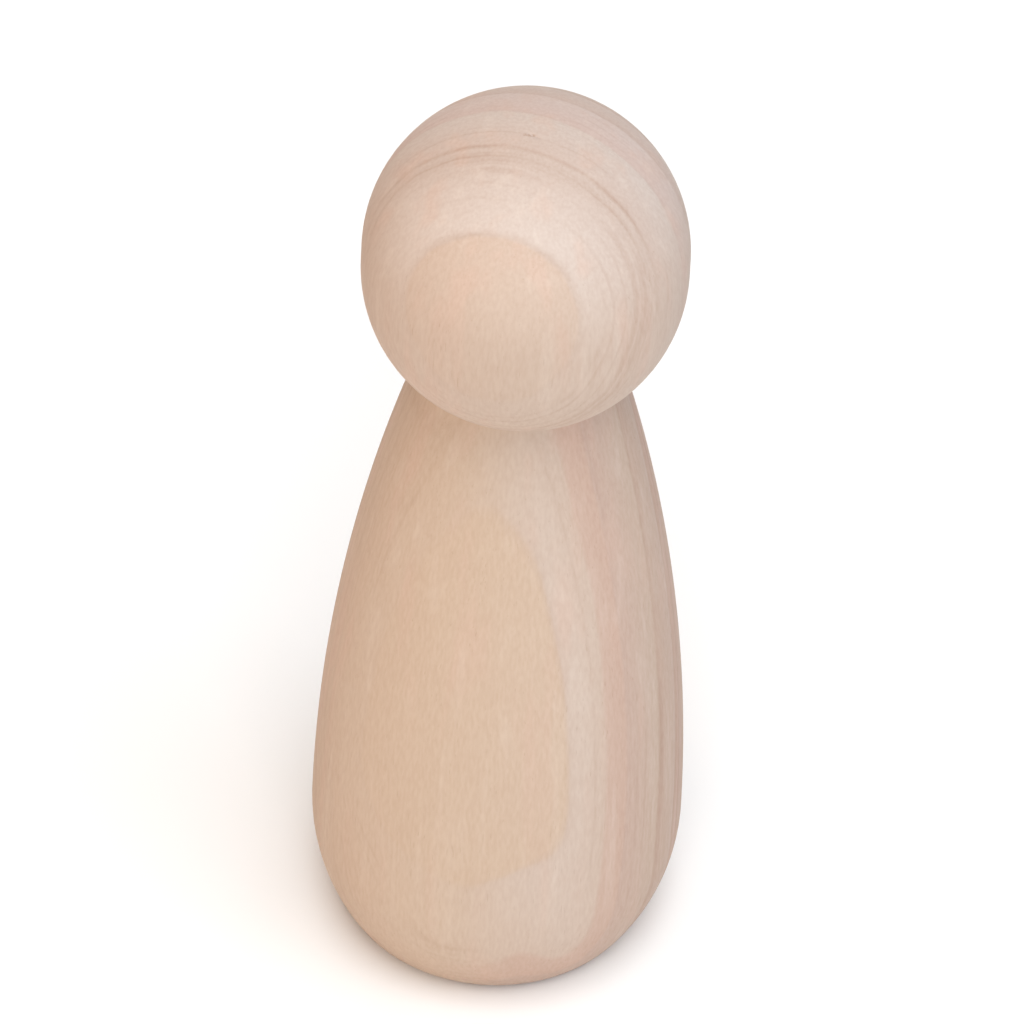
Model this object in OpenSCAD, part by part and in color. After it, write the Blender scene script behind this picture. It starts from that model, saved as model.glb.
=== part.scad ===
// Unfinished turned wooden peg doll, a round-headed game piece, in millimetres.
// The Z axis is the turning axis, +Z is up, and the flat base stands on Z = 0.
// The egg-shaped body and the ball head are separate turnings. They meet on flat faces
// hidden in the neck crease, and a grooved dowel glued into a blind bore in each holds them.

/* [Doll] */

// Height from the flat base to the crown of the head (mm)
overall_height = 90; // [88:1:94]

/* [Body] */

// Diameter of the body at its widest ring (mm)
body_diameter = 31.6; // [31:0.1:33]
// Height of the widest ring above the base (mm)
widest_height = 10.7; // [9:0.1:12]
// Radius of the long arc from the widest ring up to the neck (mm)
flank_radius = 191; // [180:1:230]
// Radius of the arc that draws the body in below the widest ring (mm)
foot_radius = 19.9; // [18:0.1:24]
// Width of the small bevel that eases the edge of the base (mm)
base_bevel = 0.7; // [0.3:0.1:1]

/* [Head] */

// Width of the head across its equator (mm)
head_width = 27.6; // [27.5:0.1:29]
// Height of the straight band around the equator, which makes the ball taller than wide (mm)
equator_band = 1.7; // [0.8:0.1:2]
// Distance from the middle of the head down to its flat seat (mm)
seat_drop = 11.8; // [11.5:0.1:12.5]

/* [Neck dowel] */

// Diameter of the dowel over its ridges (mm)
dowel_diameter = 8; // [6:1:8]
// Length of the dowel (mm)
dowel_length = 30; // [20:1:32]
// Bevel on each end of the dowel (mm)
dowel_bevel = 0.8; // [0.3:0.1:1]
// Number of glue grooves around the dowel
groove_count = 16; // [8:1:20]
// Depth of a glue groove (mm)
groove_depth = 0.3; // [0.1:0.05:0.4]
// Radius of the rounded wall of a glue groove (mm)
groove_radius = 0.4; // [0.3:0.05:0.5]
// Thickness of the glue film between the ridges and the wall of the bore (mm)
glue_film = 0.05; // [0.02:0.01:0.1]
// Room left for glue past each end of the dowel (mm)
bore_end_room = 1; // [0.5:0.1:2]

/* [Hidden] */

// Smoothness of the round faces in the preview
$fn = 128;
// Overlap that keeps a cut clear of the face it starts from
cut_past = 1;

// Heights of the head, and the body outline that runs up to it
head_radius = head_width / 2;
head_middle = overall_height - head_radius - equator_band / 2;
seat_height = head_middle - seat_drop;
body_radius = body_diameter / 2;
flank_centre = body_radius - flank_radius;
foot_centre = body_radius - foot_radius;
base_radius = foot_centre + sqrt(pow(foot_radius, 2) - pow(widest_height, 2));

// Dowel and the bores it is glued into
dowel_radius = dowel_diameter / 2;
bore_radius = dowel_radius + glue_film;
bore_depth = dowel_length / 2 + bore_end_room;
groove_axis = dowel_radius - groove_depth + groove_radius;

// Half outline of the body, from the axis outwards.
module body_outline() {
    intersection() {
        translate([flank_centre, widest_height]) circle(r = flank_radius, $fn = 720);
        translate([0, widest_height]) square([body_diameter, seat_height - widest_height]);
    }
    intersection() {
        translate([foot_centre, widest_height]) circle(r = foot_radius);
        square([body_diameter, widest_height]);
    }
}

// Ring that is cut from the edge of the base to leave the bevel, which rises half as fast as
// it widens.
module base_bevel_ring() {
    rotate_extrude()
        polygon([
            [base_radius - base_bevel, 0],
            [base_radius + base_bevel, base_bevel],
            [base_radius + base_bevel, -cut_past],
            [base_radius - base_bevel, -cut_past]
        ]);
}

// Half outline of the head about its middle, cut off flat at the seat: a half-round crown, a
// short straight band and a half-round underside.
module head_outline() {
    intersection() {
        translate([0, equator_band / 2]) circle(r = head_radius);
        translate([0, equator_band / 2]) square([head_width, head_width]);
    }
    translate([0, -equator_band / 2]) square([head_radius, equator_band]);
    intersection() {
        translate([0, -equator_band / 2]) circle(r = head_radius);
        translate([0, -seat_drop]) square([head_width, seat_drop - equator_band / 2]);
    }
}

// Egg-shaped turned body with a flat base, a flat top and a blind bore for the dowel.
module body() {
    color("BurlyWood")
        difference() {
            rotate_extrude() body_outline();
            base_bevel_ring();
            translate([0, 0, seat_height - bore_depth])
                cylinder(r = bore_radius, h = bore_depth + cut_past);
        }
}

// Turned ball head with a flat seat and a blind bore for the dowel.
module head() {
    color("Wheat")
        difference() {
            translate([0, 0, head_middle]) rotate_extrude() head_outline();
            translate([0, 0, seat_height - cut_past])
                cylinder(r = bore_radius, h = bore_depth + cut_past);
        }
}

// Standard grooved hardwood dowel, half in the body and half in the head.
module neck_dowel() {
    color("Peru")
        translate([0, 0, seat_height - dowel_length / 2])
            difference() {
                rotate_extrude()
                    polygon([
                        [0, 0],
                        [dowel_radius - dowel_bevel, 0],
                        [dowel_radius, dowel_bevel],
                        [dowel_radius, dowel_length - dowel_bevel],
                        [dowel_radius - dowel_bevel, dowel_length],
                        [0, dowel_length]
                    ]);
                for (turn = [0 : groove_count - 1])
                    rotate([0, 0, turn * 360 / groove_count])
                        translate([groove_axis, 0, -cut_past])
                            cylinder(r = groove_radius, h = dowel_length + 2 * cut_past, $fn = 24);
            }
}

body();
head();
neck_dowel();
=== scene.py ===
"""Unfinished turned wooden peg doll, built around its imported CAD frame.

Three pieces make the doll: a turned body, a turned ball head and the grooved dowel that joins
them inside. Every shape is a surface round the Z axis, worked out in millimetres and put into
its mesh in metres. The wood is a solid pattern: growth rings, fibres and pores fill the whole
blank, and each turned face shows the cut that it makes through them.
"""

import logging
import math
from collections.abc import Iterable, Mapping, Sequence
from dataclasses import dataclass
from enum import Enum
from functools import partial
from typing import Any

import bpy
import numpy as np
from mathutils import Matrix, Vector


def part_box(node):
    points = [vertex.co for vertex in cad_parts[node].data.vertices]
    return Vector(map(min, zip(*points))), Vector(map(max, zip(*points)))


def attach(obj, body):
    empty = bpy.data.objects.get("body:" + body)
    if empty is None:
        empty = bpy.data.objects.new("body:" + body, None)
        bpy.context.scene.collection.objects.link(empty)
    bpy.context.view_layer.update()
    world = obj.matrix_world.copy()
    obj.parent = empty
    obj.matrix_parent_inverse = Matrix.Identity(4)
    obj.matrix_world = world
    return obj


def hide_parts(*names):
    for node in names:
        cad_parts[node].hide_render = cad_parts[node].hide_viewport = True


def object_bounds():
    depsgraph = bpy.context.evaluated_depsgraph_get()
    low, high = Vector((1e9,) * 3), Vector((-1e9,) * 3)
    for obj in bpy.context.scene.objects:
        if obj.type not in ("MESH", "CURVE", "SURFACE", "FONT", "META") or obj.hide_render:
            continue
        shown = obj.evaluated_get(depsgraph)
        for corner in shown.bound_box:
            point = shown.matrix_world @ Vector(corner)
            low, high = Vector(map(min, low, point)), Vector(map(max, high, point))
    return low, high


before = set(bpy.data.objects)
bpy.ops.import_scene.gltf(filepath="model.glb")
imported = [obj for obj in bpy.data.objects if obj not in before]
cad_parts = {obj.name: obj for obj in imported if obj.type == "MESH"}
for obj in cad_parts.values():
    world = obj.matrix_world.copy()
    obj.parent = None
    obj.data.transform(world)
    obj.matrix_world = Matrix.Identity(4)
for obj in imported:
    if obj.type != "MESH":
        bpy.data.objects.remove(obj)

LOG = logging.getLogger("peg_doll")
CAD_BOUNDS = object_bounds()

MM = 0.001
FULL_TURN = 2.0 * math.pi


class Part(Enum):
    """The CAD nodes, by the names that the frame gives them."""

    BODY = "body"
    HEAD = "head"
    DOWEL = "neck_dowel"


class Slot(Enum):
    """The record's material slots."""

    BODY = "turned_body"
    HEAD = "turned_head"
    DOWEL = "dowel_hardwood"


def linear(hex_colour: str) -> tuple[float, float, float, float]:
    """Turns an sRGB colour into the linear one that shaders take.

    Args:
        hex_colour: six hex digits, red first, with no hash.

    Returns:
        Linear red, green, blue and an alpha of one.
    """
    channels = np.array([int(hex_colour[i : i + 2], 16) for i in (0, 2, 4)]) / 255.0
    low = channels / 12.92
    high = ((channels + 0.055) / 1.055) ** 2.4
    return (*np.where(channels <= 0.04045, low, high).tolist(), 1.0)


def node_height(part: Part) -> tuple[float, float]:
    """Gives the lowest and highest point of a CAD node, in millimetres."""
    low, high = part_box(part.value)
    return low.z / MM, high.z / MM


def node_radius(part: Part) -> float:
    """Gives half the width of a CAD node across X, in millimetres."""
    low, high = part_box(part.value)
    return (high.x - low.x) / 2.0 / MM


# --------------------------------------------------------------------------- outlines


def straight(start: tuple[float, float], end: tuple[float, float], count: int) -> np.ndarray:
    """Samples a straight run of an outline evenly.

    Args:
        start: radius and height where the run starts, in millimetres.
        end: radius and height where it ends.
        count: how many points to place, both ends included.

    Returns:
        An array of (radius, height) rows.
    """
    share = np.linspace(0.0, 1.0, count)[:, None]
    return np.asarray(start) * (1.0 - share) + np.asarray(end) * share


def arc(centre: tuple[float, float], radius: float, start: float, end: float, count: int) -> np.ndarray:
    """Samples a round run of an outline: the centre plus the radius times (cos t, sin t).

    Args:
        centre: radius and height of the arc's centre, in millimetres.
        radius: the arc's own radius.
        start: angle of the first point, in radians from the horizontal.
        end: angle of the last point.
        count: how many points to place, both ends included.

    Returns:
        An array of (radius, height) rows.
    """
    turn = np.linspace(start, end, count)
    return np.stack([centre[0] + radius * np.cos(turn), centre[1] + radius * np.sin(turn)], 1)


@dataclass(frozen=True)
class Run:
    """One run of an outline, and how much hand work shows on it from 0 to 1."""

    points: np.ndarray
    worked: float = 1.0


def eased_corner(before: np.ndarray, after: np.ndarray, ease: float, count: int = 7) -> np.ndarray:
    """Rounds the corner where two runs meet.

    The round is a quadratic curve. It starts the easing distance before the corner, is pulled
    towards the corner itself, and ends the easing distance after it.

    Args:
        before: the run that ends at the corner.
        after: the run that starts there.
        ease: the easing distance in millimetres.
        count: how many points the round gets.

    Returns:
        The points of the round.
    """
    corner = after[0]
    start = corner - (before[-1] - before[-2]) / np.linalg.norm(before[-1] - before[-2]) * ease
    end = corner + (after[1] - after[0]) / np.linalg.norm(after[1] - after[0]) * ease
    share = np.linspace(0.0, 1.0, count)[:, None]
    return (1 - share) ** 2 * start + 2 * share * (1 - share) * corner + share**2 * end


@dataclass(frozen=True)
class Outline:
    """A closed half outline from one pole to the other, with its outward normals."""

    points: np.ndarray
    worked: np.ndarray

    @classmethod
    def from_runs(cls, runs: Iterable[Run], ease: float) -> "Outline":
        """Joins runs into one outline and eases every corner between them.

        Args:
            runs: the runs in order; each starts where the one before it ends.
            ease: the easing distance at a corner, in millimetres.

        Returns:
            The outline.
        """
        runs = list(runs)
        points, worked = [runs[0].points[:-1]], [np.full(len(runs[0].points) - 1, runs[0].worked)]
        for before, after in zip(runs, runs[1:]):
            corner = eased_corner(before.points, after.points, ease)
            points += [corner, after.points[1:-1]]
            worked += [np.linspace(before.worked, after.worked, len(corner))]
            worked += [np.full(len(after.points) - 2, after.worked)]
        points.append(runs[-1].points[-1:])
        worked.append(np.full(1, runs[-1].worked))
        return cls(np.concatenate(points), np.concatenate(worked))

    def normals(self) -> np.ndarray:
        """Works out the unit normal at each point: the tangent turned a quarter turn outwards.

        Returns:
            An array of (radius, height) rows.
        """
        tangent = np.gradient(self.points, axis=0)
        tangent /= np.linalg.norm(tangent, axis=1, keepdims=True)
        ring_area = np.sum(self.points[:-1, 0] ** 2 * np.diff(self.points[:, 1]))
        side = 1.0 if ring_area > 0 else -1.0
        return np.stack([tangent[:, 1], -tangent[:, 0]], 1) * side

    def travel(self) -> np.ndarray:
        """Gives the distance run along the outline to each point, in millimetres."""
        steps = np.linalg.norm(np.diff(self.points, axis=0), axis=1)
        return np.concatenate([[0.0], np.cumsum(steps)])


# --------------------------------------------------------------------------- meshes


def put_mesh(name: str, radius: np.ndarray, height: np.ndarray, angle: np.ndarray) -> bpy.types.Object:
    """Closes a grid of points round the Z axis into a mesh whose faces point outwards.

    A point of the grid lies at (r cos a, r sin a, h). The first and the last row have no
    radius: each becomes one pole that a fan of triangles closes.

    Args:
        name: the new object's name.
        radius: the distance from the axis, one row for each step along the outline.
        height: the height, in the same layout, in millimetres.
        angle: the angle of each column round the axis, in radians.

    Returns:
        The new object, at the origin, smooth shaded.
    """
    rows, columns = radius.shape[0] - 2, radius.shape[1]
    rings = np.stack([radius * np.cos(angle), radius * np.sin(angle), height], 2)
    first, last = rings[0].mean(0), rings[-1].mean(0)
    points = np.concatenate([rings[1:-1].reshape(-1, 3), [first], [last]]) * MM

    here = np.arange(columns)
    beside = np.roll(here, -1)
    step = np.arange(rows - 1)[:, None] * columns
    quads = np.stack([step + here, step + beside, step + columns + beside, step + columns + here], 2)
    quads = quads.reshape(-1, 4)
    start_pole, end_pole = rows * columns, rows * columns + 1
    foot = (rows - 1) * columns
    first_fan = np.stack([beside, here, np.full(columns, start_pole)], 1)
    last_fan = np.stack([foot + here, foot + beside, np.full(columns, end_pole)], 1)
    triangles = np.concatenate([first_fan, last_fan])

    split = np.concatenate([quads[:, [0, 1, 2]], quads[:, [0, 2, 3]], triangles])
    a, b, c = (points[split[:, corner]] for corner in range(3))
    if np.einsum("ij,ij->i", a, np.cross(b, c)).sum() < 0:
        quads, triangles = quads[:, ::-1], triangles[:, ::-1]

    mesh = bpy.data.meshes.new(name)
    mesh.from_pydata(points.tolist(), [], quads.tolist() + triangles.tolist())
    mesh.polygons.foreach_set("use_smooth", np.ones(len(mesh.polygons), bool))
    mesh.update()
    made = bpy.data.objects.new(name, mesh)
    bpy.context.scene.collection.objects.link(made)
    return made


@dataclass(frozen=True)
class Scar:
    """A small slanted hollow, by its two half-lengths, its slant and its depth."""

    long: float
    short: float
    slant_deg: float
    depth: float

    def bell(self, across: np.ndarray, along: np.ndarray) -> np.ndarray:
        """Works out the hollow: a bell of its depth that falls off along its two axes.

        Args:
            across: distance sideways from the hollow's middle, in millimetres.
            along: distance upwards from it.

        Returns:
            Depths in millimetres.
        """
        lean = math.radians(self.slant_deg)
        first = across * math.cos(lean) + along * math.sin(lean)
        second = along * math.cos(lean) - across * math.sin(lean)
        return self.depth * np.exp(-((first / self.long) ** 2) - (second / self.short) ** 2)


@dataclass(frozen=True)
class Dent(Scar):
    """A small knock on the side of a piece, at its azimuth from the front and its height."""

    azimuth_deg: float
    height: float


@dataclass(frozen=True)
class HandWork:
    """What turning, sanding and drying leave on a blank, all of it cut into the true shape."""

    # The blank dries a little oval: it shrinks more along the rings than across them.
    oval: float = 0.10
    oval_azimuth_deg: float = -13.0
    # Sanding by hand leaves long, shallow hollows: waves that run round and along the piece.
    wander: float = 0.012
    waves: int = 9
    most_lobes: int = 5
    steepest_rise: float = 0.22
    # The oval and the hollows fade out this close to the axis.
    calm_radius: float = 2.0
    # The skew chisel leaves soft ridges that sanding almost takes away. Its feed drifts, and
    # each drift is how far, over what travel and from what phase.
    ridge: float = 0.0022
    ridge_pitch: float = 1.15
    drifts: tuple[tuple[float, float, float], ...] = ((1.4, 6.1, 0.0), (0.9, 2.7, 1.0))
    seed: int = 11

    def depth(self, outline: Outline, angle: np.ndarray) -> np.ndarray:
        """Works out how far below the true shape the worked surface lies.

        It is the sum of three things. The oval is the squared sine of the angle from the way
        that the rings face, where the surface looks sideways. The hollows are the mean of slow
        cosines in angle and height. Both fade out at the axis. The ridges are a sine along the
        outline whose phase drifts slowly.

        Args:
            outline: the true outline.
            angle: the angle of each column, in radians.

        Returns:
            Depths in millimetres, one row for each point of the outline.
        """
        draw = np.random.default_rng(self.seed)
        radius, height = outline.points[:, :1], outline.points[:, 1:]
        off_axis = 1.0 - np.exp(-((radius / self.calm_radius) ** 2))

        turned = angle[None, :] - math.radians(self.oval_azimuth_deg - 90.0)
        oval = self.oval * np.sin(turned) ** 2 * np.abs(outline.normals()[:, :1])

        lobes = draw.integers(1, self.most_lobes + 1, self.waves)[:, None, None]
        rise = draw.uniform(-self.steepest_rise, self.steepest_rise, self.waves)[:, None, None]
        phase = draw.uniform(0.0, FULL_TURN, self.waves)[:, None, None]
        slow = np.cos(lobes * angle[None, None, :] + rise * height[None] + phase)
        hollow = self.wander * (1.0 + slow.mean(0))

        travel = outline.travel()[:, None]
        drift = sum(far * np.sin(travel / over + start) for far, over, start in self.drifts)
        ridge = self.ridge * (1.0 + np.sin(FULL_TURN * travel / self.ridge_pitch + drift))
        return (oval + hollow) * off_axis + ridge

    def dents(self, outline: Outline, angle: np.ndarray, marks: Iterable[Dent]) -> np.ndarray:
        """Adds up the small dents on the side of a piece.

        A point lies across a dent by its radius times the sine of the angle between them, and
        along it by their difference in height.

        Args:
            outline: the true outline.
            angle: the angle of each column, in radians.
            marks: the dents.

        Returns:
            Depths in millimetres, one row for each point of the outline.
        """
        radius, height = outline.points[:, :1], outline.points[:, 1:]
        total = np.zeros((len(radius), len(angle)))
        for mark in marks:
            away = angle[None, :] - math.radians(mark.azimuth_deg - 90.0)
            near_side = np.cos(away) > 0.0
            total += near_side * mark.bell(radius * np.sin(away), height - mark.height)
        return total


def turned_piece(name: str, outline: Outline, depth: np.ndarray, angle: np.ndarray) -> bpy.types.Object:
    """Makes a turned solid: the outline carried round the axis and sunk along its normal.

    Args:
        name: the new object's name.
        outline: the true outline.
        depth: how far the surface is sunk at each point of the grid, in millimetres.
        angle: the angle of each column, in radians.

    Returns:
        The new object.
    """
    sunk = depth * outline.worked[:, None]
    normal = outline.normals()
    radius = outline.points[:, :1] - sunk * normal[:, :1]
    height = outline.points[:, 1:] - sunk * normal[:, 1:]
    radius[0] = radius[-1] = 0.0
    return put_mesh(name, np.maximum(radius, 0.0), height, angle)


# --------------------------------------------------------------------------- materials

# A Mix node's places for its share, its two colours and its result.
MIX_SHARE, MIX_BASE, MIX_OVER, MIX_RESULT = 0, 6, 7, 2


def add_node(
    tree: bpy.types.NodeTree,
    kind: str,
    inputs: Mapping[str | int, Any] | Sequence[Any] = (),
    output: str | int = 0,
    stops: Sequence[tuple[float, Any]] = (),
    **settings: Any,
) -> bpy.types.NodeSocket | None:
    """Adds one shader node, with its settings and what feeds it.

    Args:
        tree: the material's node tree.
        kind: the node's type name.
        inputs: sockets or values, in the order of the node's inputs, or by name or place.
        output: the name or place of the output to give.
        stops: a colour ramp's (place from 0 to 1, linear colour) pairs, in order.
        settings: the node's own settings.

    Returns:
        The output asked for, or nothing from the node that ends the tree.
    """
    node = tree.nodes.new(kind)
    for name, value in settings.items():
        setattr(node, name, value)
    fed = inputs if isinstance(inputs, Mapping) else dict(enumerate(inputs))
    for key, value in fed.items():
        if isinstance(value, bpy.types.NodeSocket):
            tree.links.new(value, node.inputs[key])
        else:
            node.inputs[key].default_value = value
    if stops:
        elements = node.color_ramp.elements
        for _ in stops[2:]:
            elements.new(1.0)
        for element, (place, colour) in zip(elements, stops):
            element.position = place
            element.color = colour
    return node.outputs[output] if len(node.outputs) else None


def new_material(name: str) -> tuple[bpy.types.Material, partial]:
    """Makes an empty material.

    Args:
        name: the material's name.

    Returns:
        The material, and `add_node` bound to its node tree.
    """
    material = bpy.data.materials.new(name)
    material.use_nodes = True
    material.node_tree.nodes.clear()
    return material, partial(add_node, material.node_tree)


def place_in_blank(add: partial) -> bpy.types.NodeSocket:
    """Adds the nodes that give a point's place in the blank, in millimetres."""
    where = add("ShaderNodeTexCoord", output="Object")
    return add("ShaderNodeVectorMath", {0: where, "Scale": 1.0 / MM}, operation="SCALE")


@dataclass(frozen=True)
class Grain:
    """A noise by the size of its blobs in millimetres, and the share that it is read as.

    `wide` is across the grain and `long` along it. The noise from `low` to `high` becomes a
    share from `least` to `most`.
    """

    wide: float
    long: float
    detail: float
    offset: float
    low: float = 0.0
    high: float = 1.0
    least: float = 0.0
    most: float = 1.0

    def noise(self, add: partial, point: bpy.types.NodeSocket) -> bpy.types.NodeSocket:
        """Adds the plain noise, about 0.5 on average, at a point of the blank.

        Args:
            add: `add_node`, bound to the material's tree.
            point: the place in the blank, in millimetres.

        Returns:
            The noise.
        """
        scale = (1.0 / self.wide, 1.0 / self.wide, 1.0 / self.long)
        shift = (self.offset, self.offset, self.offset)
        squeezed = add("ShaderNodeMapping", {0: point, "Location": shift, "Scale": scale})
        return add("ShaderNodeTexNoise", {"Vector": squeezed, "Scale": 1.0, "Detail": self.detail})

    def share(self, add: partial, point: bpy.types.NodeSocket) -> bpy.types.NodeSocket:
        """Adds the noise and carries it smoothly onto its share."""
        reach = (self.noise(add, point), self.low, self.high, self.least, self.most)
        return add("ShaderNodeMapRange", reach, interpolation_type="SMOOTHSTEP")


@dataclass(frozen=True)
class GrowthRing:
    """One year's wood, from the inner edge at `start` out to where the next ring starts.

    The tone runs from the early wood to the late wood.
    """

    start: float
    early: str
    late: str


@dataclass(frozen=True)
class Blank:
    """How the growth rings lie in the blank that the doll was turned from, in millimetres.

    The rings are almost flat sheets that face the doll's front, a little to its left. They
    stand nearly upright in the body and bend back in the head.
    """

    facing_azimuth_deg: float = -13.0
    pith_distance: float = 95.0
    lean: float = 0.077
    bend_start: float = 55.0
    bend: float = 0.0049
    # Beside a knot that lay under the foot, the sheets dip inwards.
    dip_top: float = 25.0
    dip_foot: float = 11.0
    dip: float = 2.9
    dip_full: float = 2.0
    dip_clear: float = 8.0
    # Each ripple is a noise and how far it swings the sheets.
    ripples: tuple[tuple[Grain, float], ...] = (
        (Grain(14.0, 60.0, 1.5, 3.1), 0.9),
        (Grain(3.2, 22.0, 1.5, 9.7), 0.34),
    )
    deepest: float = -16.0
    shallowest: float = 24.0

    def sheet(self, add: partial, point: bpy.types.NodeSocket) -> bpy.types.NodeSocket:
        """Adds the nodes that say which growth sheet a point of the blank lies on.

        The sheet is the distance from the pith, less the pith's own distance, plus a lean that
        grows with height, plus the square of the height above where the trunk bends, less the
        dip beside the knot, plus two slow ripples.

        Args:
            add: `add_node`, bound to the material's tree.
            point: the place in the blank, in millimetres.

        Returns:
            The sheet's distance in front of the axis at the base, in millimetres.
        """
        turn = (0.0, 0.0, math.pi - math.radians(self.facing_azimuth_deg))
        shift = (0.0, self.pith_distance, 0.0)
        log = add("ShaderNodeMapping", {0: point, "Location": shift, "Rotation": turn})
        flat = add("ShaderNodeVectorMath", (log, (1.0, 1.0, 0.0)), operation="MULTIPLY")
        reach = add("ShaderNodeVectorMath", (flat,), "Value", operation="LENGTH")
        sheet = add("ShaderNodeMath", (reach, self.pith_distance), operation="SUBTRACT")

        height = add("ShaderNodeSeparateXYZ", (point,), "Z")
        above = add("ShaderNodeMath", (height, self.bend_start), operation="SUBTRACT")
        above = add("ShaderNodeMath", (above, 0.0), operation="MAXIMUM")
        squared = add("ShaderNodeMath", (above, 2.0), operation="POWER")

        span = (height, self.dip_top, self.dip_foot, 0.0, self.dip)
        dip = add("ShaderNodeMapRange", span, interpolation_type="SMOOTHSTEP")
        across = add("ShaderNodeSeparateXYZ", (point,), "X")
        span = (across, self.dip_clear, self.dip_full)
        beside = add("ShaderNodeMapRange", span, interpolation_type="SMOOTHSTEP")
        dipped = add("ShaderNodeMath", (dip, beside), operation="MULTIPLY")

        parts = [(height, self.lean), (squared, self.bend), (dipped, -1.0)]
        for grain, swing in self.ripples:
            ripple = add("ShaderNodeMath", (grain.noise(add, point), 0.5), operation="SUBTRACT")
            parts.append((ripple, swing))
        for part, weight in parts:
            sheet = add("ShaderNodeMath", (part, weight, sheet), operation="MULTIPLY_ADD")
        return sheet

    def place(self, sheet: float) -> float:
        """Carries a sheet's distance onto the 0 to 1 length of a colour ramp."""
        return (sheet - self.deepest) / (self.shallowest - self.deepest)


@dataclass(frozen=True)
class PaintedShadeCast:
    """A tan cast painted over one side of a piece: painted warm shade, the tan of shade and bounced light,
    so that the other side reads as lit.

    The place of a point is its distance along the direction. The cast is at its strength
    below `full` and has gone above `clear`.
    """

    direction: tuple[float, float, float]
    full: float
    clear: float
    tone: str
    strength: float

    def share(self, add: partial, point: bpy.types.NodeSocket) -> bpy.types.NodeSocket:
        """Adds how strongly the painted shade shows at a point of the blank.

        Args:
            add: `add_node`, bound to the material's tree.
            point: the place in the blank, in millimetres.

        Returns:
            The cast's share.
        """
        along = add("ShaderNodeVectorMath", (point, self.direction), "Value", operation="DOT_PRODUCT")
        span = (along, self.full, self.clear, self.strength, 0.0)
        return add("ShaderNodeMapRange", span, interpolation_type="SMOOTHSTEP")


@dataclass(frozen=True)
class FalseRings:
    """Faint rings within a year's growth, which come and go along the trunk."""

    # They fade out before this sheet, over this distance.
    calm_from: float
    fade: float = 1.5
    bands: Grain = Grain(0.55, 1.0, 2.0, 4.4, 0.46, 0.70, 0.0, 0.22)
    patches: Grain = Grain(9.0, 30.0, 1.0, 21.0, 0.38, 0.60)

    def share(
        self, add: partial, point: bpy.types.NodeSocket, sheet: bpy.types.NodeSocket
    ) -> bpy.types.NodeSocket:
        """Adds how strongly a false ring shows at a point of the blank.

        Args:
            add: `add_node`, bound to the material's tree.
            point: the place in the blank, in millimetres.
            sheet: the growth sheet that the point lies on.

        Returns:
            The false rings' share.
        """
        bands = self.bands.share(add, add("ShaderNodeCombineXYZ", (sheet,)))
        patches = self.patches.share(add, point)
        span = (sheet, self.calm_from, self.calm_from - self.fade)
        inside = add("ShaderNodeMapRange", span, interpolation_type="SMOOTHSTEP")
        patches = add("ShaderNodeMath", (patches, inside), operation="MULTIPLY")
        return add("ShaderNodeMath", (bands, patches), operation="MULTIPLY")


@dataclass(frozen=True)
class Pores:
    """Pores: short fine dashes on the sides, and specks on the end grain."""

    # Real pores are 0.06 mm wide. They are drawn about twice as wide so that they show.
    specks: Grain = Grain(0.13, 2.2, 1.0, 5.5)
    # A speck is a peak above a bar, and the bar is lower where the pores crowd.
    bar: Grain = Grain(1.8, 14.0, 1.0, 31.0, 0.3, 0.7, 0.74, 0.67)
    edge: float = 0.07

    def share(self, add: partial, point: bpy.types.NodeSocket) -> bpy.types.NodeSocket:
        """Adds the pores: one inside a pore, and none between pores.

        Args:
            add: `add_node`, bound to the material's tree.
            point: the place in the blank, in millimetres.

        Returns:
            The pores' share.
        """
        low = self.bar.share(add, point)
        high = add("ShaderNodeMath", (low, self.edge), operation="ADD")
        span = (self.specks.noise(add, point), low, high)
        return add("ShaderNodeMapRange", span, interpolation_type="SMOOTHSTEP")


@dataclass(frozen=True)
class CentreMarkShade:
    """A short dark mark, slanted and frayed, painted on the axis of one end where the lathe's centre sat:
    painted shade in place of the shade of the centre's small dent.
    """

    end_height: float
    end_depth: float = 1.0
    shift: tuple[float, float, float] = (0.15, 0.35, 0.0)
    turn: tuple[float, float, float] = (0.0, 0.0, 0.5)
    squeeze: tuple[float, float, float] = (1.2, 4.2, 0.0)
    edge: tuple[float, float] = (0.95, 0.45)
    fray: Grain = Grain(0.3, 1.0, 2.0, 3.3, 0.36, 0.58, 0.0, 0.5)

    def share(
        self, add: partial, point: bpy.types.NodeSocket, height: bpy.types.NodeSocket
    ) -> bpy.types.NodeSocket:
        """Adds how strongly the painted shade at the centre's mark shows: an oval on the axis, broken up
        by its fray.

        Args:
            add: `add_node`, bound to the material's tree.
            point: the place in the blank, in millimetres.
            height: the point's height.

        Returns:
            The painted shade's share.
        """
        oval = {0: point, "Location": self.shift, "Rotation": self.turn, "Scale": self.squeeze}
        reach = add("ShaderNodeVectorMath", (add("ShaderNodeMapping", oval),), "Value", operation="LENGTH")
        spot = add("ShaderNodeMapRange", (reach, *self.edge), interpolation_type="SMOOTHSTEP")
        level = add("ShaderNodeMath", (height, self.end_height), operation="SUBTRACT")
        level = add("ShaderNodeMath", (level,), operation="ABSOLUTE")
        on_end = add("ShaderNodeMath", (level, self.end_depth), operation="LESS_THAN")
        spot = add("ShaderNodeMath", (spot, on_end), operation="MULTIPLY")
        return add("ShaderNodeMath", (spot, self.fray.share(add, point)), operation="MULTIPLY")


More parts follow.
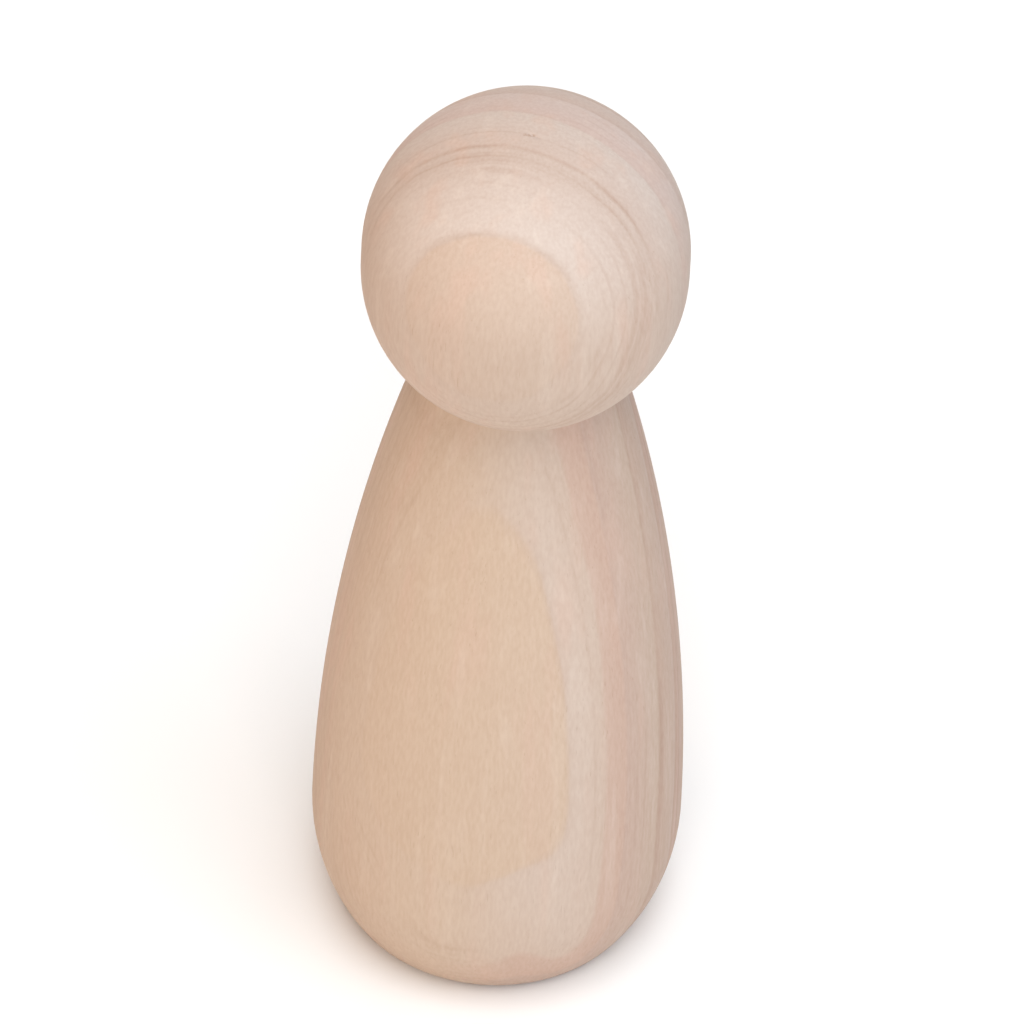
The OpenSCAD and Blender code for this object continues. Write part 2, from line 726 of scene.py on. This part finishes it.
@dataclass(frozen=True)
class BareHardwood:
    """Pale, fine-pored hardwood such as birch or schima, turned, sanded and left bare.

    The bare wood is matt, with a soft broad highlight, and its fibres run along Z. Each late
    line is a sheet and a strength: the thin dark wood that closes a year's growth.
    """

    name: str
    rings: tuple[GrowthRing, ...]
    late_lines: tuple[tuple[float, float], ...]
    painted_shade: PaintedShadeCast
    false_rings: FalseRings
    centre_mark_shade: CentreMarkShade
    blank: Blank = Blank()
    pores: Pores = Pores()
    pink: str = "cfaf9d"
    cream: str = "e3d6c8"
    dark: str = "9f7c65"
    ior: float = 1.5
    specular_level: float = 0.35
    # A ring steps to the next over twice this distance.
    ring_step: float = 0.07
    # A late line rises slowly before its sheet and ends quickly after it.
    line_rise: float = 0.34
    line_end: float = 0.14
    line_strength: Grain = Grain(5.0, 22.0, 2.0, 13.0, 0.30, 0.70, 0.19, 0.55)
    pink_streaks: Grain = Grain(2.6, 34.0, 2.0, 1.7, 0.50, 0.74, 0.0, 0.32)
    cream_streaks: Grain = Grain(1.5, 26.0, 2.0, 7.9, 0.54, 0.76, 0.0, 0.16)
    # Real fibres are 0.02 mm wide. They are drawn in bundles so that they show.
    fibres: Grain = Grain(0.28, 1.2, 2.0, 2.3)
    fibre_span: tuple[float, ...] = (0.32, 0.70, 0.0, 0.17)
    pore_tint: float = 0.22
    # End grain drinks in dust and oil from the hand, so it is a touch darker.
    end_grain_tint: float = 0.10
    end_grain_focus: float = 6.0
    # Fibres and pores are a little rougher than the hard late wood.
    roughness: float = 0.63
    fibre_roughness: float = 0.10
    pore_roughness: float = 0.12
    line_roughness: float = -0.11
    # The fibres stand up, the pores are sunk, and sandpaper leaves fine rings from the lathe.
    sanding: Grain = Grain(0.09, 1.0, 2.0, 6.0)
    sanding_rise: float = 0.12
    fibre_rise: float = 0.6
    pore_rise: float = -0.9
    relief_depth: float = 0.02
    relief_strength: float = 0.6

    def ring_stops(self) -> list[tuple[float, Any]]:
        """Gives the ramp of ring tones: early to late wood, then a quick step to the next ring.

        Returns:
            The ramp's stops.
        """
        ends = [ring.start for ring in self.rings[1:]] + [self.blank.shallowest]
        stops = []
        for ring, end in zip(self.rings, ends):
            stops.append((self.blank.place(ring.start + self.ring_step), linear(ring.early)))
            stops.append((self.blank.place(end - self.ring_step), linear(ring.late)))
        return stops

    def line_stops(self) -> list[tuple[float, Any]]:
        """Gives the ramp of the late-wood lines, from black to each line's strength and back.

        Returns:
            The ramp's stops.
        """
        black = (0.0, 0.0, 0.0, 1.0)
        stops = []
        for sheet, strength in self.late_lines:
            stops.append((self.blank.place(sheet - self.line_rise), black))
            stops.append((self.blank.place(sheet), (strength, strength, strength, 1.0)))
            stops.append((self.blank.place(sheet + self.line_end), black))
        return stops

    def end_grain_share(self, add: partial) -> bpy.types.NodeSocket:
        """Adds how strongly end grain shows: a power of how far the face looks up or down.

        Args:
            add: `add_node`, bound to the material's tree.

        Returns:
            The end grain's share.
        """
        facing = add("ShaderNodeNewGeometry", output="Normal")
        up = add("ShaderNodeSeparateXYZ", (facing,), "Z")
        up = add("ShaderNodeMath", (up,), operation="ABSOLUTE")
        bared = add("ShaderNodeMath", (up, self.end_grain_focus), operation="POWER")
        return add("ShaderNodeMath", (bared, self.end_grain_tint), operation="MULTIPLY")

    def make(self) -> bpy.types.Material:
        """Builds the material.

        Returns:
            The finished material, read in the piece's own Object coordinates.
        """
        material, add = new_material(self.name)
        point = place_in_blank(add)
        height = add("ShaderNodeSeparateXYZ", (point,), "Z")
        sheet = self.blank.sheet(add, point)
        place = add("ShaderNodeMapRange", (sheet, self.blank.deepest, self.blank.shallowest))
        # The painted shade: a warm tan over one side of the piece, standing in for shade.
        painted_shade_share = self.painted_shade.share(add, point)
        fibre = self.fibres.noise(add, point)
        pore = self.pores.share(add, point)

        # Late-wood lines are stronger here and fainter there, and the painted shade hides part of each.
        bared = add("ShaderNodeMath", (1.0, painted_shade_share), operation="SUBTRACT")
        bared = add("ShaderNodeMath", (bared, self.line_strength.share(add, point)), operation="MULTIPLY")
        lines = add("ShaderNodeValToRGB", (place,), stops=self.line_stops())
        lines = add("ShaderNodeMath", (lines, bared), operation="MULTIPLY")

        colour = add("ShaderNodeValToRGB", (place,), stops=self.ring_stops())
        layers = (
            ("MIX", painted_shade_share, self.painted_shade.tone),
            ("MULTIPLY", self.false_rings.share(add, point, sheet), self.pink),
            ("MIX", self.pink_streaks.share(add, point), self.pink),
            ("MIX", self.cream_streaks.share(add, point), self.cream),
            ("MIX", lines, self.dark),
            ("MULTIPLY", add("ShaderNodeMapRange", (fibre, *self.fibre_span)), self.pink),
            ("MIX", add("ShaderNodeMath", (pore, self.pore_tint), operation="MULTIPLY"), self.dark),
            ("MULTIPLY", self.end_grain_share(add), self.pink),
            # Painted shade at the lathe centre's mark: a small dark oval on the end's axis.
            ("MIX", self.centre_mark_shade.share(add, point, height), self.dark),
        )
        for blend, share, tone in layers:
            mixed = {MIX_SHARE: share, MIX_BASE: colour, MIX_OVER: linear(tone)}
            colour = add("ShaderNodeMix", mixed, MIX_RESULT, data_type="RGBA", blend_type=blend)

        rough = self.roughness
        weights = (self.fibre_roughness, self.pore_roughness, self.line_roughness)
        for part, weight in zip((fibre, pore, lines), weights):
            rough = add("ShaderNodeMath", (part, weight, rough), operation="MULTIPLY_ADD")

        relief = 0.0
        sanding = self.sanding.noise(add, add("ShaderNodeCombineXYZ", (height,)))
        weights = (self.sanding_rise, self.fibre_rise, self.pore_rise)
        for part, weight in zip((sanding, fibre, pore), weights):
            relief = add("ShaderNodeMath", (part, weight, relief), operation="MULTIPLY_ADD")
        raised = {"Strength": self.relief_strength, "Distance": self.relief_depth * MM, "Height": relief}

        surface = {
            "Base Color": colour,
            "Roughness": rough,
            "Normal": add("ShaderNodeBump", raised),
            "IOR": self.ior,
            "Specular IOR Level": self.specular_level,
        }
        shader = add("ShaderNodeBsdfPrincipled", surface)
        add("ShaderNodeOutputMaterial", {"Surface": shader})
        return material


@dataclass(frozen=True)
class DowelRod:
    """Straight-grained beech rod, pressed to size, bare and matt, flecked along the grain."""

    name: str = "pressed beech dowel rod"
    base: str = "d9b78c"
    pale: str = "e6cba6"
    fleck: str = "9c6f46"
    ior: float = 1.5
    # From the rough pale streaks to the pressed wood between them.
    roughness_span: tuple[float, ...] = (0.2, 0.8, 0.48, 0.63)
    streaks: Grain = Grain(0.9, 24.0, 2.0, 2.0, 0.35, 0.7)
    flecks: Grain = Grain(0.25, 1.6, 1.0, 8.0, 0.62, 0.72, 0.0, 0.5)
    relief_depth: float = 0.02
    relief_strength: float = 0.5

    def make(self) -> bpy.types.Material:
        """Builds the material.

        Returns:
            The finished material, read in the piece's own Object coordinates.
        """
        material, add = new_material(self.name)
        point = place_in_blank(add)
        colour = linear(self.base)
        for grain, tone in ((self.streaks, self.pale), (self.flecks, self.fleck)):
            mixed = {MIX_SHARE: grain.share(add, point), MIX_BASE: colour, MIX_OVER: linear(tone)}
            colour = add("ShaderNodeMix", mixed, MIX_RESULT, data_type="RGBA")
        streak = self.streaks.noise(add, point)
        raised = {"Strength": self.relief_strength, "Distance": self.relief_depth * MM, "Height": streak}
        surface = {
            "Base Color": colour,
            "Roughness": add("ShaderNodeMapRange", (streak, *self.roughness_span)),
            "Normal": add("ShaderNodeBump", raised),
            "IOR": self.ior,
        }
        shader = add("ShaderNodeBsdfPrincipled", surface)
        add("ShaderNodeOutputMaterial", {"Surface": shader})
        return material


# Each late line is a sheet and a strength. The lines of the older wood run through both pieces.
FLANK_LINES = (
    (-9.0, 0.6),
    (-4.4, 0.7),
    (-0.6, 0.5),
    (1.9, 0.6),
    (3.2, 0.7),
    (6.6, 0.35),
    (10.4, 0.25),
)
HEAD_LINES = ((14.7, 0.95), (15.6, 0.7), (20.42, 0.62))
BODY_LINES = ((14.74, 0.3),)

# The head is cut from the outer rings, so a tan cap faces the front.
HEAD_WOOD = BareHardwood(
    name="bare turned hardwood, head",
    late_lines=FLANK_LINES + HEAD_LINES,
    false_rings=FalseRings(20.2),
    centre_mark_shade=CentreMarkShade(90.0),
    # Its painted shade is a tan over the lower head that clears towards the crown, so the top reads as lit
    # from above.
    painted_shade=PaintedShadeCast((0.0, 0.0, 1.0), 75.0, 88.0, "c5af9d", 0.8),
    rings=(
        GrowthRing(-16.0, "c8af9a", "c5a893"),
        GrowthRing(-9.0, "cbb4a0", "c5ab97"),
        GrowthRing(-4.4, "cdb7a6", "c6ad9b"),
        GrowthRing(-0.6, "cdb9ac", "c8b1a2"),
        GrowthRing(3.2, "cfbcb0", "c9b3a6"),
        GrowthRing(6.6, "cfbdb3", "c9b3a8"),
        GrowthRing(10.4, "cbbcb1", "c4b0a3"),
        GrowthRing(14.7, "c3b0a3", "cbbcb1"),
        GrowthRing(20.45, "c6b09f", "c8b5a5"),
    ),
)

# The body cuts the same rings, as a tan arch at the front and stripes up its right flank.
BODY_WOOD = BareHardwood(
    name="bare turned hardwood, body",
    late_lines=FLANK_LINES + BODY_LINES,
    false_rings=FalseRings(14.2),
    centre_mark_shade=CentreMarkShade(0.0),
    # Its painted shade is a warm tan over the left flank, standing in for the shade and warm bounced light
    # on that side.
    painted_shade=PaintedShadeCast((1.0, 0.0, 0.0), -6.0, 3.5, "c8b19b", 0.85),
    rings=(
        GrowthRing(-16.0, "c3a690", "bf9d85"),
        GrowthRing(-9.0, "c6a994", "c09f88"),
        GrowthRing(-4.4, "c6aa96", "c0a18c"),
        GrowthRing(-0.6, "c5aa96", "c1a28f"),
        GrowthRing(3.2, "c3ab99", "bea390"),
        GrowthRing(6.6, "c3ac99", "c1a797"),
        GrowthRing(10.7, "c4a795", "c5aa99"),
        GrowthRing(12.3, "c8b3a2", "cab7a8"),
        GrowthRing(14.75, "c9b19b", "cab3a0"),
    ),
)


# --------------------------------------------------------------------------- the doll


def dress(piece: bpy.types.Object, part: Part, wood: bpy.types.Material) -> bpy.types.Object:
    """Gives a piece its wood and its body, and stands it in for its CAD node.

    Args:
        piece: the piece's object.
        part: the CAD node that it replaces.
        wood: its finished material.

    Returns:
        The same piece.
    """
    piece.data.materials.append(wood)
    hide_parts(part.value)
    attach(piece, "root")
    return piece


@dataclass
class TurnedPiece:
    """What the body and the head share: a bored blank with a flat face at the neck."""

    part: Part
    slot: Slot
    finish: BareHardwood
    bore_radius: float = 4.05
    bore_depth: float = 16.0
    ease: float = 0.12
    # How many points the mesh has round the axis and along each run of the outline.
    columns: int = 288
    bore_floor_points: int = 7
    bore_wall_points: int = 14
    seat_points: int = 9
    work: HandWork = HandWork()
    dents: tuple[Dent, ...] = ()

    def angle(self) -> np.ndarray:
        """Gives the angle of each column round the axis, in radians."""
        return np.arange(self.columns) * (FULL_TURN / self.columns)

    def bore_and_seat(self, floor: float, seat: float, edge: np.ndarray) -> list[Run]:
        """Gives the runs of the blind bore and of the flat face at the neck.

        Args:
            floor: the height of the bore's floor, in millimetres.
            seat: the height of the flat face.
            edge: radius and height of the flat face's outer edge.

        Returns:
            The runs, from the middle of the bore's floor out to the edge.
        """
        inner, mouth = (self.bore_radius, floor), (self.bore_radius, seat)
        return [
            Run(straight((0.0, floor), inner, self.bore_floor_points), 0.0),
            Run(straight(inner, mouth, self.bore_wall_points), 0.0),
            Run(straight(mouth, tuple(edge), self.seat_points), 0.0),
        ]

    def worked(self, outline: Outline, angle: np.ndarray) -> np.ndarray:
        """Gives the depth of the hand work and the dents at each point of the grid."""
        return self.work.depth(outline, angle) + self.work.dents(outline, angle, self.dents)


@dataclass
class TurnedBody(TurnedPiece):
    """The egg-shaped body: a long flank, a foot that draws in, and a slightly dished base."""

    part: Part = Part.BODY
    slot: Slot = Slot.BODY
    finish: BareHardwood = BODY_WOOD
    widest_height: float = 10.7
    flank_radius: float = 191.0
    foot_radius: float = 19.9
    base_bevel: float = 0.7
    bevel_slope: float = 0.5
    flank_points: int = 150
    foot_points: int = 44
    bevel_points: int = 5
    base_points: int = 64
    # What lies lower than this is the base.
    base_skin: float = 0.02
    # The base is dished, so the doll stands on its rim. Parting off leaves rings and a torn pip.
    dish: float = 0.16
    cut_ring: float = 0.010
    cut_ring_pitch: float = 0.62
    pip: float = 0.13
    pip_radius: float = 0.75
    dents: tuple[Dent, ...] = (
        Dent(0.9, 0.5, 20.0, 0.035, 34.0, 24.0),
        Dent(0.7, 0.6, 0.0, 0.03, -52.0, 41.0),
        Dent(1.1, 0.6, 50.0, 0.045, 150.0, 30.0),
        Dent(0.9, 0.7, 10.0, 0.04, -118.0, 17.0),
    )

    def outline(self) -> Outline:
        """Works out the body's outline: a long flank arc, a foot arc, a bevel and a flat base.

        Returns:
            The outline, from the floor of the bore round to the middle of the base.
        """
        radius, seat = node_radius(self.part), node_height(self.part)[1]
        middle = self.widest_height
        flank_centre = (radius - self.flank_radius, middle)
        foot_centre = (radius - self.foot_radius, middle)
        top_turn = math.asin((seat - middle) / self.flank_radius)
        flat = foot_centre[0] + math.sqrt(self.foot_radius**2 - middle**2) - self.base_bevel

        # The bevel starts on the base and meets the foot's arc where this quadratic says.
        run = 1.0 / self.bevel_slope
        reach = flat - foot_centre[0]
        square, slope = 1.0 + run**2, 2.0 * (run * reach - middle)
        rest = reach**2 + middle**2 - self.foot_radius**2
        bevel_top = (-slope + math.sqrt(slope**2 - 4.0 * square * rest)) / (2.0 * square)
        low_turn = -math.asin((middle - bevel_top) / self.foot_radius)

        flank = arc(flank_centre, self.flank_radius, top_turn, 0.0, self.flank_points)
        foot = arc(foot_centre, self.foot_radius, 0.0, low_turn, self.foot_points)
        bevel = straight(tuple(foot[-1]), (flat, 0.0), self.bevel_points)
        base = straight((flat, 0.0), (0.0, 0.0), self.base_points)
        runs = self.bore_and_seat(seat - self.bore_depth, seat, flank[0])
        runs += [Run(np.concatenate([flank, foot[1:]])), Run(bevel), Run(base)]
        return Outline.from_runs(runs, self.ease)

    def base_marks(self, outline: Outline) -> np.ndarray:
        """Sinks the base: a shallow dish with cut rings and the torn pip left by parting off.

        The dish is its depth times the square of one minus the squared share of the base's
        radius. The cut rings are a cosine of the radius. The pip is a bell at the middle that
        takes most of the dish away again.

        Args:
            outline: the body's outline.

        Returns:
            Depths in millimetres, one row for each point, in a single column.
        """
        radius, height = outline.points[:, :1], outline.points[:, 1:]
        on_base = height < self.base_skin
        share = np.clip(1.0 - (radius / radius[on_base].max()) ** 2, 0.0, 1.0)
        rings = self.cut_ring * (1.0 - np.cos(FULL_TURN * radius / self.cut_ring_pitch)) * np.sqrt(share)
        pip = self.pip * np.exp(-((radius / self.pip_radius) ** 2))
        sunk = self.dish * share**2 + rings - pip
        return np.where(on_base, np.maximum(sunk, 0.0), 0.0)

    def build(self) -> bpy.types.Object:
        """Builds and dresses the body.

        Returns:
            The body.
        """
        outline, angle = self.outline(), self.angle()
        above_base = (outline.points[:, 1:] > self.base_skin).astype(float)
        depth = self.worked(outline, angle) * above_base + self.base_marks(outline)
        body = turned_piece("turned_body", outline, depth, angle)
        return dress(body, self.part, self.finish.make())


@dataclass
class TurnedHead(TurnedPiece):
    """The ball head: a half-round crown and underside with a short straight band between."""

    part: Part = Part.HEAD
    slot: Slot = Slot.HEAD
    finish: BareHardwood = HEAD_WOOD
    equator_band: float = 1.7
    underside_points: int = 90
    band_points: int = 7
    crown_points: int = 150
    # The tail centre's mark: a small sanded flat, and what is left of a scar in it.
    crown_flat: float = 0.05
    crown_flat_radius: float = 1.6
    scar: Scar = Scar(0.62, 0.17, -28.0, 0.07)
    scar_place: tuple[float, float] = (0.15, -0.1)
    # These marks stay this far above the bore's floor.
    crown_clear: float = 2.0
    dents: tuple[Dent, ...] = (
        Dent(0.8, 0.5, 30.0, 0.03, -64.0, 71.0),
        Dent(0.7, 0.4, -40.0, 0.03, 58.0, 79.0),
        Dent(0.9, 0.6, 0.0, 0.04, 165.0, 76.0),
    )

    def outline(self) -> Outline:
        """Works out the head's outline: two arcs of the head's radius and a band between them.

        Returns:
            The outline, from the floor of the bore round to the crown.
        """
        radius = node_radius(self.part)
        seat, top = node_height(self.part)
        upper, lower = top - radius, top - radius - self.equator_band
        seat_turn = math.asin((seat - lower) / radius)
        underside = arc((0.0, lower), radius, seat_turn, 0.0, self.underside_points)
        crown = arc((0.0, upper), radius, 0.0, math.pi / 2.0, self.crown_points)
        band = straight((radius, lower), (radius, upper), self.band_points)
        ball = np.concatenate([underside, band[1:-1], crown])
        ball[-1, 0] = 0.0
        runs = self.bore_and_seat(seat + self.bore_depth, seat, underside[0]) + [Run(ball)]
        return Outline.from_runs(runs, self.ease)

    def crown_marks(self, outline: Outline, angle: np.ndarray) -> np.ndarray:
        """Sinks the crown where the lathe's tail centre sat and was sanded away.

        The flat is a bell round the axis, and the scar in it is a short slanted one.

        Args:
            outline: the head's outline.
            angle: the angle of each column, in radians.

        Returns:
            Depths in millimetres, one row for each point of the outline.
        """
        radius, height = outline.points[:, :1], outline.points[:, 1:]
        on_crown = height > node_height(self.part)[0] + self.bore_depth + self.crown_clear
        flat = self.crown_flat * np.exp(-((radius / self.crown_flat_radius) ** 2))
        x, y = self.scar_place
        return on_crown * (flat + self.scar.bell(radius * np.cos(angle) - x, radius * np.sin(angle) - y))

    def build(self) -> bpy.types.Object:
        """Builds and dresses the head.

        Returns:
            The head.
        """
        outline, angle = self.outline(), self.angle()
        depth = self.worked(outline, angle) + self.crown_marks(outline, angle)
        head = turned_piece("turned_head", outline, depth, angle)
        return dress(head, self.part, self.finish.make())


@dataclass
class NeckDowel:
    """The hidden grooved dowel, glued half into the body and half into the head."""

    finish: DowelRod = DowelRod()
    bevel: float = 0.8
    ease: float = 0.1
    grooves: int = 16
    groove_depth: float = 0.3
    groove_radius: float = 0.4
    columns_per_groove: int = 20
    end_points: int = 8
    bevel_points: int = 6
    side_points: int = 60

    def groove_wall(self, radius: float, angle: np.ndarray) -> np.ndarray:
        """Gives the distance from the axis to the wall of the groove at each angle.

        A groove is a circle whose centre lies just outside the dowel. A ray from the axis
        meets it at the centre's distance times cos a, less the root of the circle's squared
        radius minus that distance times sin a squared. Between grooves the dowel is round.

        Args:
            radius: the dowel's radius in millimetres.
            angle: the angle of each column, in radians.

        Returns:
            One distance for each column.
        """
        pitch = FULL_TURN / self.grooves
        away = (angle + pitch / 2.0) % pitch - pitch / 2.0
        centre = radius - self.groove_depth + self.groove_radius
        under_root = self.groove_radius**2 - (centre * np.sin(away)) ** 2
        wall = centre * np.cos(away) - np.sqrt(np.maximum(under_root, 0.0))
        return np.where(under_root > 0.0, np.minimum(wall, radius), radius)

    def build(self) -> bpy.types.Object:
        """Builds and dresses the dowel: a bevelled rod, no wider than its grooves let it be.

        Returns:
            The dowel.
        """
        radius = node_radius(Part.DOWEL)
        low, high = node_height(Part.DOWEL)
        inner = radius - self.bevel
        corners = (
            (0.0, low),
            (inner, low),
            (radius, low + self.bevel),
            (radius, high - self.bevel),
            (inner, high),
            (0.0, high),
        )
        counts = (self.end_points, self.bevel_points, self.side_points, self.bevel_points, self.end_points)
        runs = [Run(straight(*ends)) for ends in zip(corners, corners[1:], counts)]
        outline = Outline.from_runs(runs, self.ease)
        columns = self.grooves * self.columns_per_groove
        angle = np.arange(columns) * (FULL_TURN / columns)
        grid_radius = np.minimum(outline.points[:, :1], self.groove_wall(radius, angle))
        grid_height = outline.points[:, 1:] + 0.0 * angle
        dowel = put_mesh("grooved_dowel", grid_radius, grid_height, angle)
        return dress(dowel, Part.DOWEL, self.finish.make())


# --------------------------------------------------------------------------- the studio


@dataclass(frozen=True)
class SoftLight:
    """One square soft light: where it hangs, what it is aimed at, its side and its power."""

    name: str
    place: tuple[float, float, float]
    side: float
    power: float
    colour: tuple[float, float, float]


@dataclass
class Studio:
    """A plain pale floor, soft lights and a long lens that looks down on the doll."""

    elevation_deg: float = 46.0
    distance: float = 2.02
    roll_deg: float = 3.1
    doll_share: float = 0.891
    sensor: float = 36.0
    # From this height, this share of the body's width adds to the height that is seen.
    width_share: float = 0.62
    near: float = 0.05
    far: float = 20.0
    floor_side: float = 6.0
    floor_tone: str = "f6f5f3"
    floor_roughness: float = 0.9
    sky_tone: str = "ffffff"
    sky_strength: float = 0.185
    lights: tuple[SoftLight, ...] = (
        SoftLight("back fill", (-0.25, 1.0, 0.6), 0.7, 1.8, (0.96, 0.98, 1.0)),
        SoftLight("overhead softbox", (0.08, -0.15, 0.95), 0.8, 9.3, (0.97, 0.985, 1.0)),
        SoftLight("front fill", (0.05, -1.1, 0.55), 0.7, 6.18, (1.0, 0.99, 0.985)),
        SoftLight("warm left card", (-0.45, -0.05, 0.12), 0.35, 0.52, (1.0, 0.45, 0.08)),
        SoftLight("cool right card", (0.45, -0.05, 0.14), 0.35, 0.45, (0.5, 0.68, 1.0)),
    )

    def aim(self, thing: bpy.types.Object, place: Vector, target: Vector, roll_deg: float = 0.0) -> None:
        """Puts a light or camera in place and turns it to face its target.

        Args:
            thing: the light or camera.
            place: where it goes, in metres.
            target: the point it faces.
            roll_deg: how far it is rolled about its own line of sight.
        """
        look = (target - place).to_track_quat("-Z", "Y").to_matrix().to_4x4()
        roll = Matrix.Rotation(math.radians(roll_deg), 4, "Z")
        thing.matrix_world = Matrix.Translation(place) @ look @ roll

    def lay_floor(self) -> None:
        """Lays the floor that the doll stands on."""
        half = self.floor_side / 2.0
        corners = [(-half, -half, 0.0), (half, -half, 0.0), (half, half, 0.0), (-half, half, 0.0)]
        mesh = bpy.data.meshes.new("studio_floor")
        mesh.from_pydata(corners, [], [(0, 1, 2, 3)])
        # Matt paper has no highlight, so it shows only the doll's soft shadow.
        material, add = new_material("matt pale studio paper")
        paper = {"Base Color": linear(self.floor_tone), "Roughness": self.floor_roughness}
        shader = add("ShaderNodeBsdfPrincipled", paper)
        add("ShaderNodeOutputMaterial", {"Surface": shader})
        mesh.materials.append(material)
        floor = bpy.data.objects.new("studio_floor", mesh)
        bpy.context.scene.collection.objects.link(floor)

    def hang_lights(self, target: Vector) -> None:
        """Hangs the soft lights round the doll and sets the even light of the room.

        Args:
            target: the middle of the doll, in metres.
        """
        for light in self.lights:
            data = bpy.data.lights.new(light.name, "AREA")
            data.shape = "SQUARE"
            data.size = light.side
            data.energy = light.power
            data.color = light.colour
            lamp = bpy.data.objects.new(light.name, data)
            bpy.context.scene.collection.objects.link(lamp)
            self.aim(lamp, Vector(light.place), target)
        world = bpy.data.worlds.new("even white room")
        world.use_nodes = True
        background = world.node_tree.nodes["Background"]
        background.inputs["Color"].default_value = linear(self.sky_tone)
        background.inputs["Strength"].default_value = self.sky_strength
        bpy.context.scene.world = world

    def set_camera(self, low: Vector, high: Vector) -> None:
        """Sets the camera at its height over the doll, rolled so that the doll leans a little.

        The lens is as long as makes the doll's seen height fill its share of the frame.

        Args:
            low: the doll's lowest corner.
            high: its highest corner.
        """
        rise = math.radians(self.elevation_deg)
        target = (low + high) / 2.0
        back = Vector((0.0, -math.cos(rise), math.sin(rise)))
        size = high - low
        seen = size.z * math.cos(rise) + size.x * math.sin(rise) * self.width_share
        data = bpy.data.cameras.new("long lens")
        data.sensor_width = self.sensor
        data.lens = self.sensor * self.distance * self.doll_share / seen
        data.clip_start, data.clip_end = self.near, self.far
        camera = bpy.data.objects.new("long lens", data)
        bpy.context.scene.collection.objects.link(camera)
        self.aim(camera, target + back * self.distance, target, self.roll_deg)
        bpy.context.scene.camera = camera

    def build(self) -> None:
        """Lays the floor, hangs the lights and sets the camera."""
        low, high = CAD_BOUNDS
        self.lay_floor()
        self.hang_lights((low + high) / 2.0)
        self.set_camera(low, high)
        view = bpy.context.scene.view_settings
        view.view_transform = "Standard"
        view.look = "None"


def main() -> None:
    """Builds the doll and its studio in order, and reports each piece."""
    logging.basicConfig(level=logging.INFO, format="%(name)s: %(message)s")
    for maker in (TurnedBody(), TurnedHead(), NeckDowel()):
        piece = maker.build()
        LOG.info("%s: %d faces", piece.name, len(piece.data.polygons))
    Studio().build()


if __name__ == "__main__":
    main()
